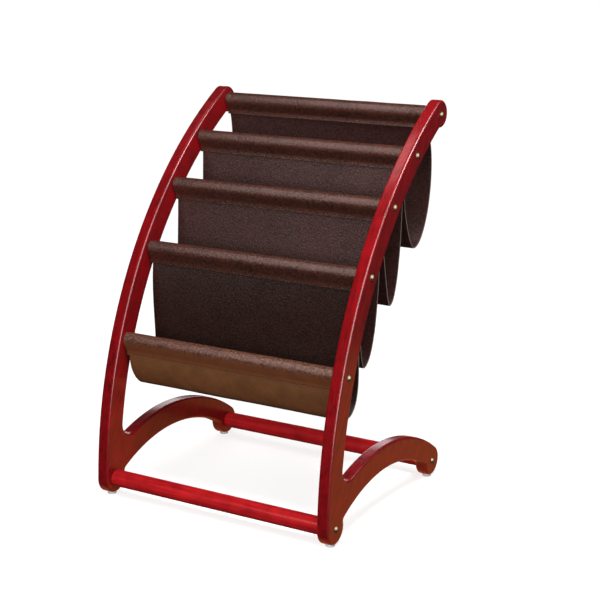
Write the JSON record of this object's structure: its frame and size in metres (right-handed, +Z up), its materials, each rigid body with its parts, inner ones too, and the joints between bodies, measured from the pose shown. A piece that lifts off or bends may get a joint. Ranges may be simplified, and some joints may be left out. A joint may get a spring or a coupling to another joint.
{
  "type": "periodical display rack",
  "caption": "Free-standing rack: leather slings hung as open pockets between rods that join two bowed wooden side frames with arched rear legs.",
  "frame": {"origin": "on the floor, below the middle of the rack's overall width and depth", "axes": "+Z up, +X to the right seen from the front, front towards -Y"},
  "size_m": [0.5486, 0.4874, 0.7952],
  "materials": {
    "frame_wood": "mahogany-red stain under glossy lacquer",
    "stretcher_wood": "bright red stain under glossy lacquer",
    "rod_wood": "plain turned wood, unlacquered",
    "cover_leather": "dark brown, fine pebbled grain, semi-gloss",
    "sling_leather": "dark brown, fine pebbled grain, semi-gloss",
    "thread": "dark brown waxed thread",
    "bolt_nickel": "warm nickel plating",
    "insert_brass": "plain",
    "glide_plastic": "off-white nylon"
  },
  "bodies": {
    "root": {"left_side_frame": "frame_wood", "left_frame_bolts": "bolt_nickel", "left_insert_nuts": "insert_brass", "right_side_frame": "frame_wood", "right_frame_bolts": "bolt_nickel", "right_insert_nuts": "insert_brass", "top_rod": "rod_wood", "top_rod_cover": "cover_leather", "top_seam_stitches": "thread", "second_rod": "rod_wood", "second_rod_cover": "cover_leather", "second_seam_stitches": "thread", "third_rod": "rod_wood", "third_rod_cover": "cover_leather", "third_seam_stitches": "thread", "fourth_rod": "rod_wood", "fourth_rod_cover": "cover_leather", "fourth_seam_stitches": "thread", "fifth_rod": "rod_wood", "fifth_rod_cover": "cover_leather", "fifth_seam_stitches": "thread", "front_stretcher": "stretcher_wood", "rear_stretcher": "stretcher_wood", "top_sling": "sling_leather", "second_sling": "sling_leather", "third_sling": "sling_leather", "bottom_sling": "sling_leather", "floor_glides": "glide_plastic"}
  },
  "joints": []
}
